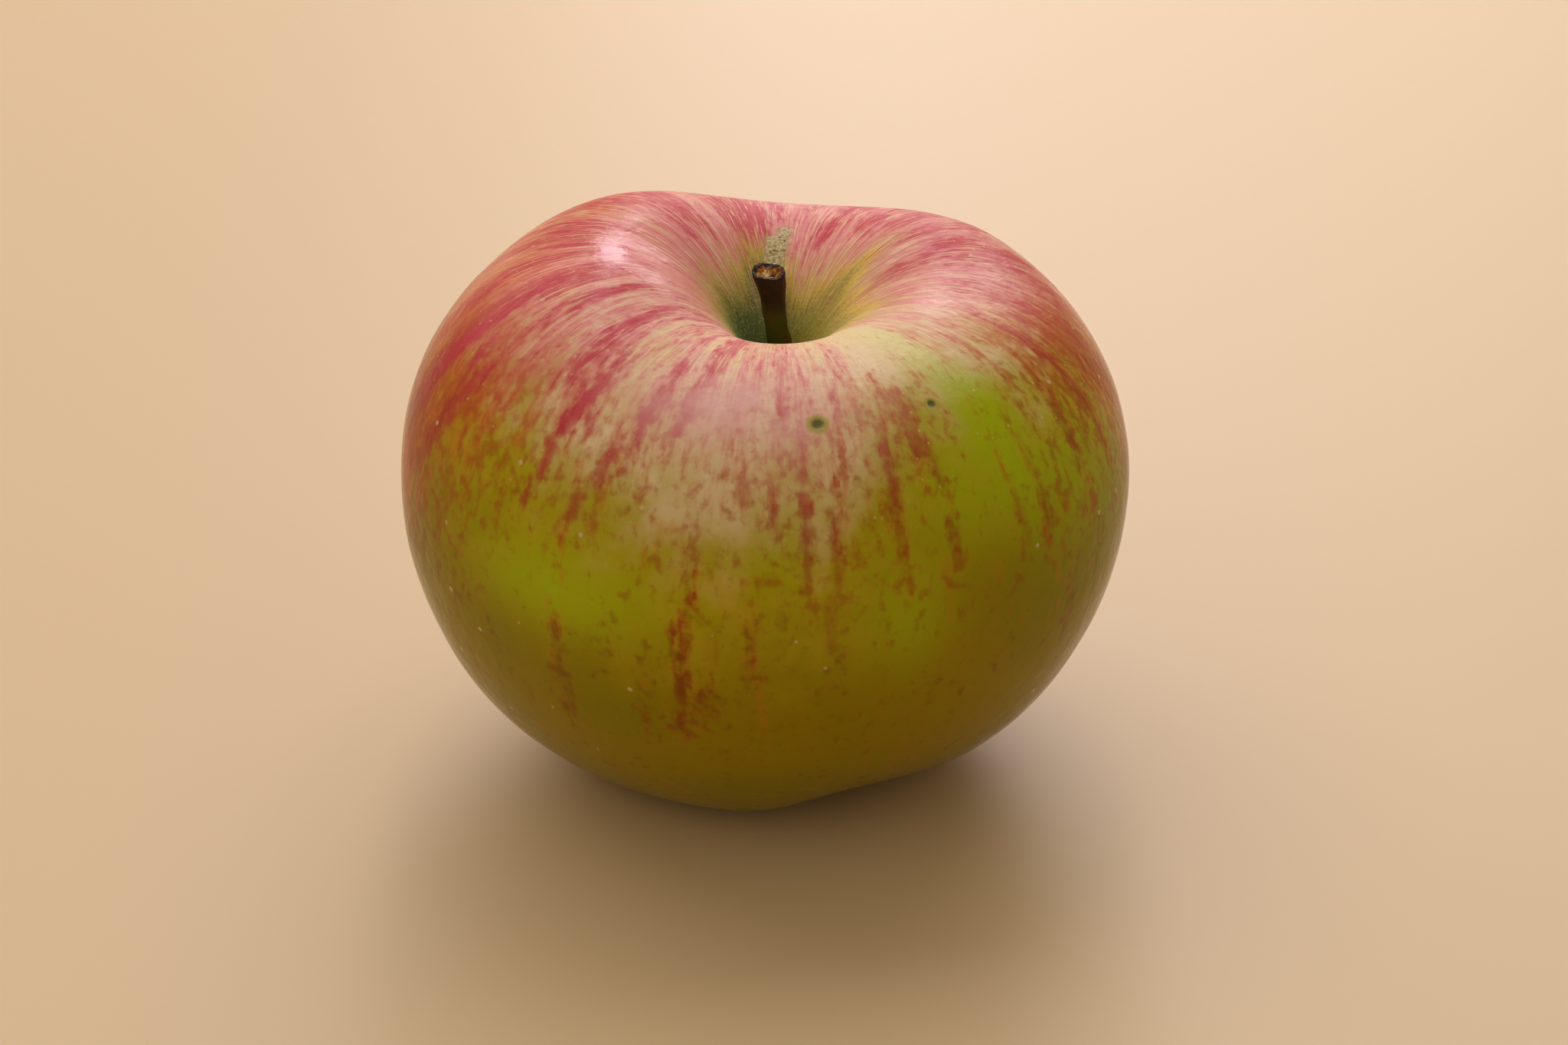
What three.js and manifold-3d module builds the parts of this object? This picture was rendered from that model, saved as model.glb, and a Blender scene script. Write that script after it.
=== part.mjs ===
// A ripe dessert apple, whole and as picked: the fruit, its woody stalk and the dried flower in the basin below.
// Millimetres, +Z up. The origin lies on the surface that the apple rests on, under the middle of its width.
// Azimuths are in degrees from +X towards +Y, and the apple's front faces -Y, at 270.

import * as THREE from "three";
import { ParametricGeometry } from "three/addons/geometries/ParametricGeometry.js";
import { mergeVertices } from "three/addons/utils/BufferGeometryUtils.js";
import Module from "manifold-3d";

// The core stands off the middle of the apple's width, because the fruit grew out further to the left
const coreOffset = 1.4;
const touchingGap = 0.3;

// The fruit between two lobes: heights above the resting surface, and radii about the core
const crestHeight = 56.8;
const crestRadius = 19.7;
const waistHeight = 35.2;
const waistRadius = 40.0;
const footRadius = 12.1;

// The feet would reach this far below the surface, and are flattened there into small spots
const footSquash = 0.35;
// Between two feet the underside lifts by this much
const footGroove = 3.3;

// The five lobes that stand over the seed chambers, and how far each shapes the fruit around it:
// rise lifts the crest, spread moves it out, reach widens the waist and toe moves the foot out
const lobeWidth = 34;
const lobes = [
  { azimuth: 38, rise: 2.7, spread: 0.6, reach: -0.8, toe: 0 },
  { azimuth: 135, rise: 4.5, spread: 0.7, reach: 2.8, toe: 0 },
  { azimuth: 196, rise: 4.9, spread: 0.5, reach: 2.6, toe: 3.5 },
  { azimuth: 251, rise: 0.1, spread: 0.6, reach: 0.7, toe: 0.2 },
  { azimuth: 339, rise: 0.7, spread: -1.2, reach: 0, toe: -1.2 },
];

// How far each bend of the outline is drawn out towards its corner, from 0, flat, to 1, square
const shoulder = { out: 0.59, up: 0.55 };
const flank = { down: 0.55, in: 0.46 };

// The cavity that the stalk grows from, and the blind socket that holds the stalk's root
const cavity = { floorHeight: 45.7, floorRadius: 2.2, throatOut: 0.12, throatUp: 0.48, lip: 0.47 };
const socketDepth = 3.6;

// The basin underneath, and the calyx tube that goes up from it
const basin = { radius: 3.0, height: 6.7, sole: 0.5, throatOut: 2.0, throatDrop: 4.0 };
const tubeRadius = 1.9;
const tubeHeight = 3.9;

// The stalk: width and lean towards the left at heights above the root's end
const stalkRoot = cavity.floorHeight - socketDepth + touchingGap;
const stalkStations = [
  { height: stalkRoot, width: 2.1, lean: 0 },
  { height: 46.5, width: 2.5, lean: 0 },
  { height: 50.0, width: 2.4, lean: 0 },
  { height: 52.5, width: 2.6, lean: 0.2 },
  { height: 55.2, width: 2.8, lean: 0.45 },
  { height: 57.0, width: 3.3, lean: 0.7 },
  { height: 58.2, width: 3.8, lean: 0.95 },
  { height: 58.8, width: 3.6, lean: 1.05 },
];
const stalkDepthRatio = 1.12;
const tornEnd = { rimWidth: 0.35, dish: 0.5, tilt: 0.2, ragged: 0.12 };
const stalkNub = { azimuth: -10, height: 50.6, size: 0.75, spread: 0.5, turn: 26 };

// The dried flower: five sepals on a ring, round a tuft of withered stamens
const sepalLength = 5.6;
const sepalWidth = 2.7;
const sepalThickness = 0.65;
const sepalRing = { inner: 1.6, outer: 2.45, low: 5.9, high: 7.0 };
const stamenCount = 13;
const stamenLength = 4.6;
const stamenRadius = 0.2;
const stamenPad = { radius: 1.25, thickness: 0.6 };

// Mesh fineness: points around, and steps along each stretch of the fruit's outline
const fruitAround = 80;
const fruitSteps = { line: 1, socketWall: 2, cavity: 10, shoulder: 9, flank: 12, basin: 9 };
const stalkAround = 20;
const stalkSteps = 16;

const skin = new THREE.MeshStandardMaterial({ color: 0xb4654a, roughness: 0.32, metalness: 0 });
const bark = new THREE.MeshStandardMaterial({ color: 0x3d2a1a, roughness: 0.5, metalness: 0 });
const driedLeaf = new THREE.MeshStandardMaterial({ color: 0x6a5438, roughness: 0.9, metalness: 0 });
const driedStamen = new THREE.MeshStandardMaterial({ color: 0x3a2a1c, roughness: 0.95, metalness: 0 });

const wasm = await Module();
wasm.setup();

// The vertices alone, each one once, as a solid needs them
function welded(geometry) {
  geometry.deleteAttribute("normal");
  geometry.deleteAttribute("uv");
  return mergeVertices(geometry, 1e-3);
}

// A closed skin of revolution whose outline is drawn anew at each azimuth: its ends meet the axis.
// The azimuth runs clockwise from above, so that the faces point outwards when the outline runs downwards.
function redrawnLathe(outlineAt, around) {
  const outlines = [];
  for (let i = 0; i < around; i += 1) {
    outlines.push(outlineAt((-360 * i) / around));
  }
  const steps = outlines[0].length - 1;
  const surface = (u, v, target) => {
    const index = Math.round(u * around) % around;
    const { x: radius, y: height } = outlines[index][Math.round(v * steps)];
    const angle = THREE.MathUtils.degToRad((-360 * index) / around);
    target.set(radius * Math.cos(angle), radius * Math.sin(angle), height);
  };
  return welded(new ParametricGeometry(surface, around, steps));
}

// How much the lobes change the fruit's outline at an azimuth: each fades as a bell to both sides
function lobeEffect(azimuth) {
  const effect = { rise: 0, spread: 0, reach: 0, toe: 0, weight: 0 };
  for (const lobe of lobes) {
    const away = THREE.MathUtils.euclideanModulo(azimuth - lobe.azimuth + 180, 360) - 180;
    const weight = Math.exp(-((away / lobeWidth) ** 2));
    effect.rise += weight * lobe.rise;
    effect.spread += weight * lobe.spread;
    effect.reach += weight * lobe.reach;
    effect.toe += weight * lobe.toe;
    effect.weight += weight;
  }
  return effect;
}

// The fruit's outline at an azimuth, from the socket's floor over the crest and under to the calyx tube
function fruitOutline(azimuth) {
  const lobe = lobeEffect(azimuth);
  const crest = { x: crestRadius + lobe.spread, y: crestHeight + lobe.rise };
  const waist = { x: waistRadius + lobe.reach, y: waistHeight };
  const groove = footGroove * THREE.MathUtils.smoothstep(1 - lobe.weight, 0, 1);
  const foot = { x: footRadius + lobe.toe, y: groove - footSquash };
  const socketRadius = stalkStations[1].width / 2 + touchingGap;
  const socketFloor = cavity.floorHeight - socketDepth;
  const wallRun = crest.x - cavity.floorRadius;
  const wallRise = crest.y - cavity.floorHeight;
  const shoulderRun = waist.x - crest.x;
  const flankRun = waist.x - foot.x;

  const path = new THREE.Path();
  path.moveTo(0, socketFloor);
  path.lineTo(socketRadius, socketFloor);
  path.lineTo(socketRadius, cavity.floorHeight - touchingGap);
  path.lineTo(cavity.floorRadius, cavity.floorHeight);
  path.bezierCurveTo(
    cavity.floorRadius + cavity.throatOut * wallRun, cavity.floorHeight + cavity.throatUp * wallRise,
    crest.x - cavity.lip * wallRun, crest.y,
    crest.x, crest.y,
  );
  path.bezierCurveTo(
    crest.x + shoulder.out * shoulderRun, crest.y,
    waist.x, waist.y + shoulder.up * (crest.y - waist.y),
    waist.x, waist.y,
  );
  path.bezierCurveTo(
    waist.x, waist.y - flank.down * (waist.y - foot.y),
    foot.x + flank.in * flankRun, foot.y,
    foot.x, foot.y,
  );
  path.bezierCurveTo(
    foot.x - basin.sole * (foot.x - basin.radius), foot.y,
    basin.radius + basin.throatOut, basin.height - basin.throatDrop,
    basin.radius, basin.height,
  );
  path.lineTo(tubeRadius, basin.height + tubeHeight * 0.75);
  path.lineTo(tubeRadius * 0.8, basin.height + tubeHeight);
  path.lineTo(0, basin.height + tubeHeight);

  const { line, socketWall } = fruitSteps;
  const steps = [line, socketWall, line, fruitSteps.cavity, fruitSteps.shoulder, fruitSteps.flank,
    fruitSteps.basin, line, line, line];
  const points = path.curves.flatMap((curve, i) => curve.getPoints(steps[i]).slice(i === 0 ? 0 : 1));
  for (const point of points) {
    point.y = Math.max(point.y, 0);
  }
  return points;
}

function fruitGeometry() {
  return redrawnLathe(fruitOutline, fruitAround);
}

// The stalk's outline runs down from the pit in its torn end, over the ragged rim, to the root's end
function stalkOutline(azimuth) {
  const side = new THREE.SplineCurve(
    stalkStations.map(({ width, height }) => new THREE.Vector2(width / 2, height)).reverse(),
  );
  const top = stalkStations.at(-1);
  const rim = top.width / 2 - tornEnd.rimWidth;
  const end = [
    new THREE.Vector2(0, top.height - tornEnd.dish),
    new THREE.Vector2(rim * 0.5, top.height - tornEnd.dish * 0.8),
    new THREE.Vector2(rim, top.height - tornEnd.dish * 0.3),
  ];
  const points = [...end, ...side.getPoints(stalkSteps), new THREE.Vector2(0, stalkRoot)];
  const angle = THREE.MathUtils.degToRad(azimuth);
  const nubAway = THREE.MathUtils.euclideanModulo(azimuth - stalkNub.azimuth + 180, 360) - 180;
  for (const point of points) {
    const nearEnd = THREE.MathUtils.smoothstep(point.y, top.height - 2, top.height);
    const slope = tornEnd.tilt * Math.sin(angle) + tornEnd.ragged * Math.sin(3 * angle + 0.6);
    const nub = Math.exp(-((nubAway / stalkNub.turn) ** 2) - ((point.y - stalkNub.height) / stalkNub.spread) ** 2);
    const share = point.x / (top.width / 2);
    point.y += nearEnd * share * slope;
    point.x += point.x > 0 ? stalkNub.size * nub : 0;
  }
  return points;
}

// The straight stalk is made deeper than wide, then leant to the left the more, the higher it goes
function stalkGeometry() {
  const geometry = redrawnLathe(stalkOutline, stalkAround);
  const lean = new THREE.SplineCurve(stalkStations.map((s) => new THREE.Vector2(s.height, s.lean)));
  const position = geometry.getAttribute("position");
  const heights = lean.getPoints(60);
  for (let i = 0; i < position.count; i += 1) {
    const height = position.getZ(i);
    const above = heights.findIndex((p) => p.x >= height);
    const next = heights[above === -1 ? heights.length - 1 : Math.max(above, 1)];
    const last = heights[above === -1 ? heights.length - 2 : Math.max(above, 1) - 1];
    const share = (height - last.x) / (next.x - last.x);
    position.setX(i, position.getX(i) - THREE.MathUtils.lerp(last.y, next.y, share));
    position.setY(i, position.getY(i) * stalkDepthRatio);
  }
  return geometry;
}

function toSolid(geometry) {
  const closed = welded(geometry);
  return new wasm.Manifold(new wasm.Mesh({
    numProp: 3,
    vertProperties: new Float32Array(closed.getAttribute("position").array),
    triVerts: new Uint32Array(closed.index.array),
  }));
}

function fromSolid(solid) {
  const mesh = solid.getMesh();
  const geometry = new THREE.BufferGeometry();
  geometry.setAttribute("position", new THREE.BufferAttribute(mesh.vertProperties, 3));
  geometry.setIndex(new THREE.BufferAttribute(mesh.triVerts, 1));
  return geometry;
}

function fused(geometries) {
  const solids = geometries.map(toSolid);
  return fromSolid(solids.reduce((whole, solid) => whole.add(solid)));
}

// A ring of revolution with a square section, standing round the core
function ringGeometry({ inner, outer, low, high }, around) {
  const section = [[inner, low], [outer, low], [outer, high], [inner, high], [inner, low]];
  const geometry = new THREE.LatheGeometry(section.map(([x, y]) => new THREE.Vector2(x, y)), around);
  return geometry.rotateX(Math.PI / 2).rotateZ(Math.PI);
}

// A sepal is a blade that narrows to a tip: it hangs from the ring, and curls outwards as it dries
function sepalGeometry(index) {
  const curl = 1 + 0.25 * Math.sin(2.3 * index + 1);
  const length = sepalLength * (1 + 0.12 * Math.sin(1.7 * index));
  const middle = (sepalRing.inner + sepalRing.outer) / 2;
  const spine = new THREE.CubicBezierCurve(
    new THREE.Vector2(middle, sepalRing.high - 0.3),
    new THREE.Vector2(middle - 0.1, sepalRing.high - 0.45 * length),
    new THREE.Vector2(middle + 0.5 * curl, sepalRing.high - 0.72 * length),
    new THREE.Vector2(middle + 1.9 * curl, sepalRing.high - 0.7 * length),
  );
  const geometry = new THREE.BoxGeometry(1, 1, 1, 4, 1, 8);
  const position = geometry.getAttribute("position");
  for (let i = 0; i < position.count; i += 1) {
    const along = position.getZ(i) + 0.5;
    const across = position.getX(i) * 2;
    const through = position.getY(i);
    const at = spine.getPoint(along);
    const tangent = spine.getTangent(along);
    const halfWidth = (sepalWidth / 2) * (1 - along ** 1.6) + 0.15;
    const cupping = 0.35 * halfWidth * across ** 2;
    const out = at.x - cupping - tangent.y * sepalThickness * through;
    const up = at.y + tangent.x * sepalThickness * through;
    position.setXYZ(i, out, halfWidth * across, up);
  }
  return geometry.rotateZ(THREE.MathUtils.degToRad(36 + (360 / 5) * index));
}

function sepalsGeometry() {
  const blades = [0, 1, 2, 3, 4].map(sepalGeometry);
  return fused([ringGeometry(sepalRing, 30), ...blades]);
}

// The stamens hang from a pad in the calyx tube, in two circles, and each ends in a small anther
function stamensGeometry() {
  const padTop = basin.height + tubeHeight - touchingGap;
  const padLow = padTop - stamenPad.thickness;
  const pad = new THREE.CylinderGeometry(stamenPad.radius, stamenPad.radius, stamenPad.thickness, 16);
  pad.rotateX(Math.PI / 2).translate(0, 0, padTop - stamenPad.thickness / 2);
  const stamens = Array.from({ length: stamenCount }, (_, i) => {
    const inner = i % 3 === 0;
    const turn = THREE.MathUtils.degToRad(i * 137.5);
    const length = stamenLength * (0.88 + 0.12 * Math.sin(5.1 * i));
    const profile = [
      [0, -length], [stamenRadius * 1.5, -length + 0.2], [stamenRadius * 1.5, -length + 0.5],
      [stamenRadius, -length + 0.8], [stamenRadius, 0.3], [0, 0.3],
    ];
    const stamen = new THREE.LatheGeometry(profile.map(([x, y]) => new THREE.Vector2(x, y)), 6);
    stamen.rotateX(Math.PI / 2);
    stamen.rotateX(inner ? 0.02 : 0.05);
    return stamen.translate(0, inner ? 0.25 : 0.75, padLow).rotateZ(turn);
  });
  return fused([pad, ...stamens]);
}

function piece(name, geometry, material) {
  geometry.computeVertexNormals();
  const mesh = new THREE.Mesh(geometry, material);
  mesh.name = name;
  return mesh;
}

const apple = new THREE.Group();
apple.position.x = coreOffset;
apple.add(piece("fruit", fruitGeometry(), skin));
apple.add(piece("stalk", stalkGeometry(), bark));
apple.add(piece("sepals", sepalsGeometry(), driedLeaf));
apple.add(piece("stamens", stamensGeometry(), driedStamen));

export default apple;
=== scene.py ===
import math
import random

import bmesh
import bpy
import numpy as np
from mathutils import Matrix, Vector, noise


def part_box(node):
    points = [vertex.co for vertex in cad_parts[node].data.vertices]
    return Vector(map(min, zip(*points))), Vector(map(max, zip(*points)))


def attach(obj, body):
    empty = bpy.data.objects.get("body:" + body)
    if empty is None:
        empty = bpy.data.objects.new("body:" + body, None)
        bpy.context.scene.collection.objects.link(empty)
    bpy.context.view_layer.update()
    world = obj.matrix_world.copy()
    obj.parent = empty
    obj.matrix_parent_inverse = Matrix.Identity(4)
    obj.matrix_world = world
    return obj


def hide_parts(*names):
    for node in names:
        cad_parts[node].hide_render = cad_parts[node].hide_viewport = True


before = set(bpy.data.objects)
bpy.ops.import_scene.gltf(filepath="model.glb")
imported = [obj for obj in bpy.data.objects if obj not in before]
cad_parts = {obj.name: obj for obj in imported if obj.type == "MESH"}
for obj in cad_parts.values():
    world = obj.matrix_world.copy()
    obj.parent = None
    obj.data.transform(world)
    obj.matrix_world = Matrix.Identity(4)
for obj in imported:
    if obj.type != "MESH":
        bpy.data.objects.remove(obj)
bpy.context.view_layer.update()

# The fruit
# One body of crisp flesh under a thin waxed skin, grown round its core in five lobes. Nothing is fixed to it:
# it stands on the feet of its lobes, and the stalk and the dried flower grow from its two ends.

MILLIMETRE = 0.001

# The core's axis, and the height on it that polar angles are counted from, 0 at the stalk and 180 below
CORE = Vector((0.0014, 0.0, 0.031))

# Corners of a CAD mesh that lie closer together than this are one corner
MERGE_WITHIN = 1e-6


def quad_copy(node):
    """A mesh copy of a CAD node, with its loose triangles merged and paired into quads."""
    shape = bmesh.new()
    shape.from_mesh(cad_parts[node].data)
    bmesh.ops.remove_doubles(shape, verts=shape.verts, dist=MERGE_WITHIN)
    bmesh.ops.join_triangles(
        shape,
        faces=shape.faces,
        angle_face_threshold=math.radians(60),
        angle_shape_threshold=math.radians(80),
    )
    return shape


def smoothed_object(name, shape, levels):
    """An object made from a bmesh, with a subdivision surface already applied."""
    rough = bpy.data.meshes.new(name + "_cage")
    shape.to_mesh(rough)
    shape.free()
    cage = bpy.data.objects.new(name + "_cage", rough)
    bpy.context.scene.collection.objects.link(cage)
    subdivision = cage.modifiers.new("smooth", "SUBSURF")
    subdivision.levels = levels
    subdivision.render_levels = levels
    fine = bpy.data.meshes.new_from_object(cage.evaluated_get(bpy.context.evaluated_depsgraph_get()))
    bpy.data.objects.remove(cage)
    bpy.data.meshes.remove(rough)
    piece = bpy.data.objects.new(name, fine)
    fine.name = name
    bpy.context.scene.collection.objects.link(piece)
    return piece


def points_of(mesh):
    """The mesh's vertices as an array, in metres."""
    points = np.empty(len(mesh.vertices) * 3)
    mesh.vertices.foreach_get("co", points)
    return points.reshape(-1, 3)


def put_points(mesh, points):
    """Moves the mesh's vertices to the points, and shades the mesh smooth."""
    mesh.vertices.foreach_set("co", points.astype(np.float32).ravel())
    mesh.shade_smooth()
    mesh.update()


def normals_of(mesh):
    """The mesh's vertex normals as an array."""
    normals = np.empty(len(mesh.vertices) * 3)
    mesh.vertices.foreach_get("normal", normals)
    return normals.reshape(-1, 3)


def wobble(points, size, octaves=2):
    """Smooth noise from about -1 to 1 at each point, with bumps of the given size in metres."""
    return np.array([noise.fractal(Vector(p / size), 0.8, 2.0, octaves) for p in points])


def around_core(points):
    """Each point's azimuth and polar angle in degrees, and its distances from the axis and the centre."""
    away = points - np.array(CORE)
    azimuth = np.degrees(np.arctan2(away[:, 1], away[:, 0])) % 360
    from_axis = np.hypot(away[:, 0], away[:, 1])
    from_centre = np.linalg.norm(away, axis=1)
    polar = np.degrees(np.arctan2(from_axis, away[:, 2]))
    return azimuth, polar, from_axis, from_centre


def turn_from(start, azimuth):
    """Degrees from one azimuth round to another, between -180 and 180."""
    return (azimuth - start + 180) % 360 - 180


def eased(value, low, high):
    """Goes smoothly from 0 to 1 as the value goes from low to high."""
    share = np.clip((value - low) / (high - low), 0, 1)
    return share * share * (3 - 2 * share)


# The depth, in mm, of a point that lies far outside every line
FAR_OUTSIDE = -3.0


def nearest_line(lines, azimuth, polar, from_axis, from_centre):
    """How far inside the closest line's edge each point lies, in mm, and how strong that line is."""
    depth = np.full(len(azimuth), FAR_OUTSIDE)
    strength_there = np.zeros(len(azimuth))
    per_turn = np.radians(1) * from_axis / MILLIMETRE
    per_polar = np.radians(1) * from_centre / MILLIMETRE
    for strength, line in lines:
        for (turn_0, polar_0, width_0), (turn_1, polar_1, width_1) in zip(line, line[1:]):
            across = turn_from(turn_0, azimuth) * per_turn
            down = (polar - polar_0) * per_polar
            run_across = (turn_1 - turn_0) * per_turn
            run_down = (polar_1 - polar_0) * per_polar
            share = np.clip((across * run_across + down * run_down) / (run_across**2 + run_down**2), 0, 1)
            gap = np.hypot(across - share * run_across, down - share * run_down)
            inside = width_0 + (width_1 - width_0) * share - gap
            closer = inside > depth
            depth = np.where(closer, inside, depth)
            strength_there = np.where(closer, strength, strength_there)
    return depth, strength_there


def place_on_skin(azimuth, polar):
    """The point of the skin at an azimuth and polar angle: the closest vertex in those angles."""
    azimuths, polars, from_axis, _ = around_core(points_of(skin.data))
    turned = turn_from(azimuth, azimuths) * from_axis / from_axis.max()
    closest = np.hypot(turned, polars - polar).argmin()
    return skin.data.vertices[int(closest)].co.copy()


skin = smoothed_object("fruit_skin", quad_copy("fruit"), 2)

# The corky scar on the cavity's far wall: its middle, and two lines, each with a strength, and then azimuth,
# polar angle and half width in mm at points down it
SCAR_MIDDLE = (92.0, 27.5)
SCAR_REACH = 4.0 * MILLIMETRE
SCAR_HEIGHT = 0.14 * MILLIMETRE
SCAR_GRAIN = 0.55 * MILLIMETRE
SCAR = [
    (1.0, [(94, 23.5, 0.7), (92.5, 27.5, 0.8)]),
    (1.0, [(90, 25.0, 0.6), (88.5, 28.5, 0.7), (87, 31.0, 0.5)]),
]

# Two dark specks where the skin healed over a small wound, each a pit in a low rim
SPECKS = [
    {"azimuth": 278.0, "polar": 52.6, "radius": 0.62 * MILLIMETRE},
    {"azimuth": 302.4, "polar": 52.6, "radius": 0.46 * MILLIMETRE},
]
SPECK_REACH = 1.6 * MILLIMETRE
SPECK_RIM = 0.05 * MILLIMETRE
SPECK_PIT = 0.14 * MILLIMETRE

scar_centre = place_on_skin(*SCAR_MIDDLE)
speck_centres = [place_on_skin(speck["azimuth"], speck["polar"]) for speck in SPECKS]

# The mesh is made finer at the scar and at the specks, to carry their relief
finer = bmesh.new()
finer.from_mesh(skin.data)
detail_spots = [(scar_centre, SCAR_REACH)] + [(centre, SPECK_REACH) for centre in speck_centres]
detail_edges = [
    edge
    for edge in finer.edges
    if any((edge.verts[0].co - centre).length < reach for centre, reach in detail_spots)
]
bmesh.ops.subdivide_edges(finer, edges=detail_edges, cuts=3, use_grid_fill=True)
finer.to_mesh(skin.data)
finer.free()

points = points_of(skin.data)
normals = normals_of(skin.data)
azimuth, polar, from_axis, from_centre = around_core(points)

# Gentle unevenness of the grown surface, which fades at the feet so that they stay flat on the floor
UNEVENNESS = 0.10 * MILLIMETRE
SWELLING_SIZE = 11 * MILLIMETRE
FEET_TOP = 1.0 * MILLIMETRE
FEET_FADE = 3 * MILLIMETRE
above_feet = np.clip((points[:, 2] - FEET_TOP) / FEET_FADE, 0, 1)
relief = UNEVENNESS * wobble(points, SWELLING_SIZE) * above_feet

scar, _ = nearest_line(SCAR, azimuth, polar, from_axis, from_centre)
near_scar = scar > -0.4
grain = np.zeros(len(points))
grain[near_scar] = wobble(points[near_scar] * np.array([1, 1.6, 1.6]), SCAR_GRAIN, 3)
relief += SCAR_HEIGHT * eased(scar, -0.2, 0.5) * (0.5 + grain)

for speck, centre in zip(SPECKS, speck_centres):
    away = np.linalg.norm(points - np.array(centre), axis=1) / speck["radius"]
    relief += SPECK_RIM * np.exp(-(((away - 1.5) / 0.5) ** 2))
    relief -= SPECK_PIT * np.exp(-((away / 0.9) ** 2))

put_points(skin.data, points + normals * relief[:, None])


def paint(mesh, name, values):
    """Keeps one number for each vertex, for a material to read."""
    attribute = mesh.attributes.new(name, "FLOAT", "POINT")
    attribute.data.foreach_set("value", values.astype(np.float32))


# The red streaks: a strength, and then azimuth, polar angle and half width in mm
# at points down each one
STREAKS = [
    (0.85, [(199.5, 37, 0.5), (200.3, 50, 0.7), (197, 58, 1.3), (193, 68, 2.0)]),
    (0.8, [(204.5, 52, 0.35), (204.3, 57.5, 0.5)]),
    (0.7, [(211, 30, 0.3), (211, 37, 0.6), (211.4, 41, 0.7)]),
    (0.75, [(209, 56.5, 0.7), (205.5, 65, 1.0), (200, 76, 1.3)]),
    (0.85, [(224.5, 31, 0.8), (225.5, 40, 0.8), (225.6, 47, 0.5), (226, 51.3, 0.7)]),
    (1.0, [(232.5, 43.5, 0.2), (232.5, 51, 0.7), (231.5, 55.5, 1.0), (230.3, 59.3, 0.9)]),
    (0.6, [(234.5, 56, 0.6), (235.3, 58.3, 0.7)]),
    (0.8, [(230.3, 62, 0.8), (229, 68, 0.5), (227.8, 72, 0.35)]),
    (0.9, [(246.4, 42.5, 0.3), (246.2, 49.5, 0.4), (244.6, 54, 0.6), (244.7, 58.5, 0.3)]),
    (0.55, [(244.2, 60, 0.35), (243.9, 63, 0.3)]),
    (0.7, [(241, 58.8, 0.5), (240.4, 64, 0.6)]),
    (0.5, [(239, 65, 0.5), (237, 69.5, 0.7), (234.5, 73.5, 0.3)]),
    (0.8, [(254.9, 30, 0.9), (254.3, 38, 1.0), (253.4, 46, 0.7)]),
    (1.0, [(252.8, 47, 0.6), (252, 51, 0.9), (251.2, 55.3, 0.7)]),
    (0.75, [(265.3, 41, 0.35), (265.1, 46, 0.5), (265.3, 50, 0.45)]),
    (0.5, [(264.2, 62, 0.7), (264.6, 65, 0.9)]),
    (0.6, [(270.8, 38, 0.4), (270.8, 46, 0.5)]),
    (1.0, [(270.8, 47, 0.55), (270.9, 52.3, 0.6)]),
    (0.55, [(276.4, 44, 0.25), (276.4, 49.5, 0.3)]),
    (0.55, [(274.6, 54, 0.4), (274.2, 62, 0.7)]),
    (0.85, [(274.4, 64, 0.5), (274.7, 71, 0.6), (274.2, 79, 0.35)]),
    (0.4, [(269.2, 63, 0.6), (269.6, 70, 0.6)]),
    (0.8, [(257.4, 69, 0.35), (256.9, 76, 0.45), (256.7, 83, 0.25)]),
    (0.8, [(279.3, 67.5, 0.3), (279.2, 73, 0.5), (279.1, 79, 0.3)]),
    (0.75, [(282.2, 47.3, 0.3), (282.3, 50.5, 0.35)]),
    (0.4, [(286, 37, 0.4), (286.2, 45, 0.4)]),
    (0.7, [(289.4, 58, 0.5), (289.1, 66, 0.6), (289.6, 75, 0.5), (290.5, 80, 0.2)]),
    (0.45, [(296, 49.5, 1.0), (296.2, 60, 0.8)]),
    (0.55, [(298, 60, 0.6), (298, 66, 0.5)]),
    (0.75, [(298.3, 71, 0.5), (298.8, 77.5, 0.7)]),
    (0.6, [(311.3, 69.5, 0.35), (312.3, 77, 0.4)]),
    (0.45, [(316.7, 61, 0.3), (316.8, 68, 0.3)]),
    (0.8, [(316.9, 70, 0.4), (317.8, 77.5, 0.6)]),
    (0.75, [(329.2, 56.8, 0.35), (329.2, 63, 0.8), (329, 66, 0.6), (328.5, 71, 0.3)]),
    (0.5, [(326.2, 76, 0.4), (326, 78.3, 0.4)]),
    (0.6, [(338.3, 46.5, 0.6), (338.2, 56, 0.6), (338.3, 65, 0.4)]),
    (0.4, [(338.3, 66, 0.6), (338.4, 71.5, 0.5)]),
    (0.45, [(345, 46, 0.6), (344.8, 53, 0.6)]),
    (0.5, [(353.5, 46.5, 0.5), (353.3, 50.5, 0.6)]),
    (0.65, [(3, 45, 0.7), (3, 60, 0.7)]),
    (0.7, [(9.7, 43.5, 0.5), (9.7, 54, 0.5)]),
    (0.65, [(10, 21.5, 0.4), (9.5, 28, 0.5)]),
    (0.55, [(25, 33, 0.5), (25, 44, 0.5)]),
    (0.55, [(33, 37, 0.7), (33, 43, 0.7)]),
    (0.6, [(40.5, 28, 0.4), (43, 39, 0.6)]),
    (0.7, [(256.2, 86, 0.5), (254.7, 101, 0.6)]),
    (0.3, [(259.2, 96, 0.9), (259.2, 100, 1.2)]),
    (0.25, [(235, 90, 0.6), (235, 106, 0.8)]),
    (0.5, [(266.3, 83, 0.35), (266, 91, 0.3)]),
    (0.45, [(278, 80, 0.8), (278, 88, 0.6)]),
    (0.45, [(323.7, 92, 0.4), (323.4, 99, 0.35)]),
    (0.35, [(260.8, 86, 0.6), (260.6, 90, 0.5)]),
]

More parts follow.
